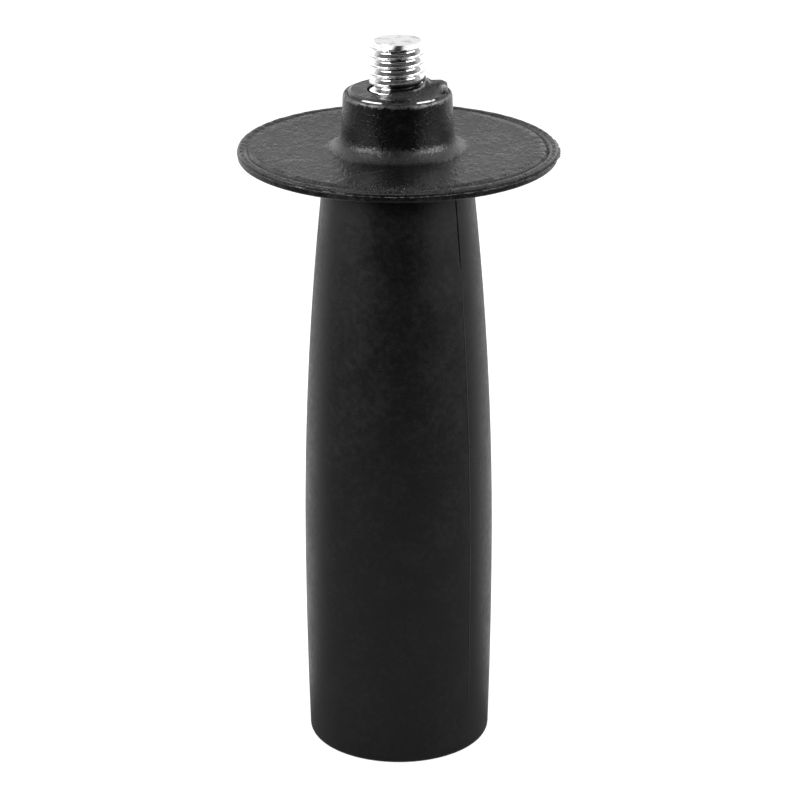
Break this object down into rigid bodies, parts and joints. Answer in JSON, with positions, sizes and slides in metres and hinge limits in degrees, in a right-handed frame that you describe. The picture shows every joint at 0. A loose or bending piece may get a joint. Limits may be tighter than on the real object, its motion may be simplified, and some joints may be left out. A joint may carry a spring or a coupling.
{
  "type": "side handle grip",
  "caption": "Barrel-shaped black plastic side handle with a round hand guard and a steel stud for screwing it to a hand-held machine.",
  "frame": {"origin": "centre of the butt's flat end face, on which the handle stands", "axes": "+Z along the grip's axis from the butt to the stud's end; -Y towards the viewer, +X to the picture's right"},
  "size_m": [0.0449, 0.045, 0.1039],
  "materials": {
    "black_plastic": "moulded, fine grained satin black",
    "plated_steel": "bright zinc-plated, rolled thread"
  },
  "bodies": {
    "root": {"grip_moulding": "black_plastic", "threaded_bolt": "plated_steel"}
  },
  "joints": []
}
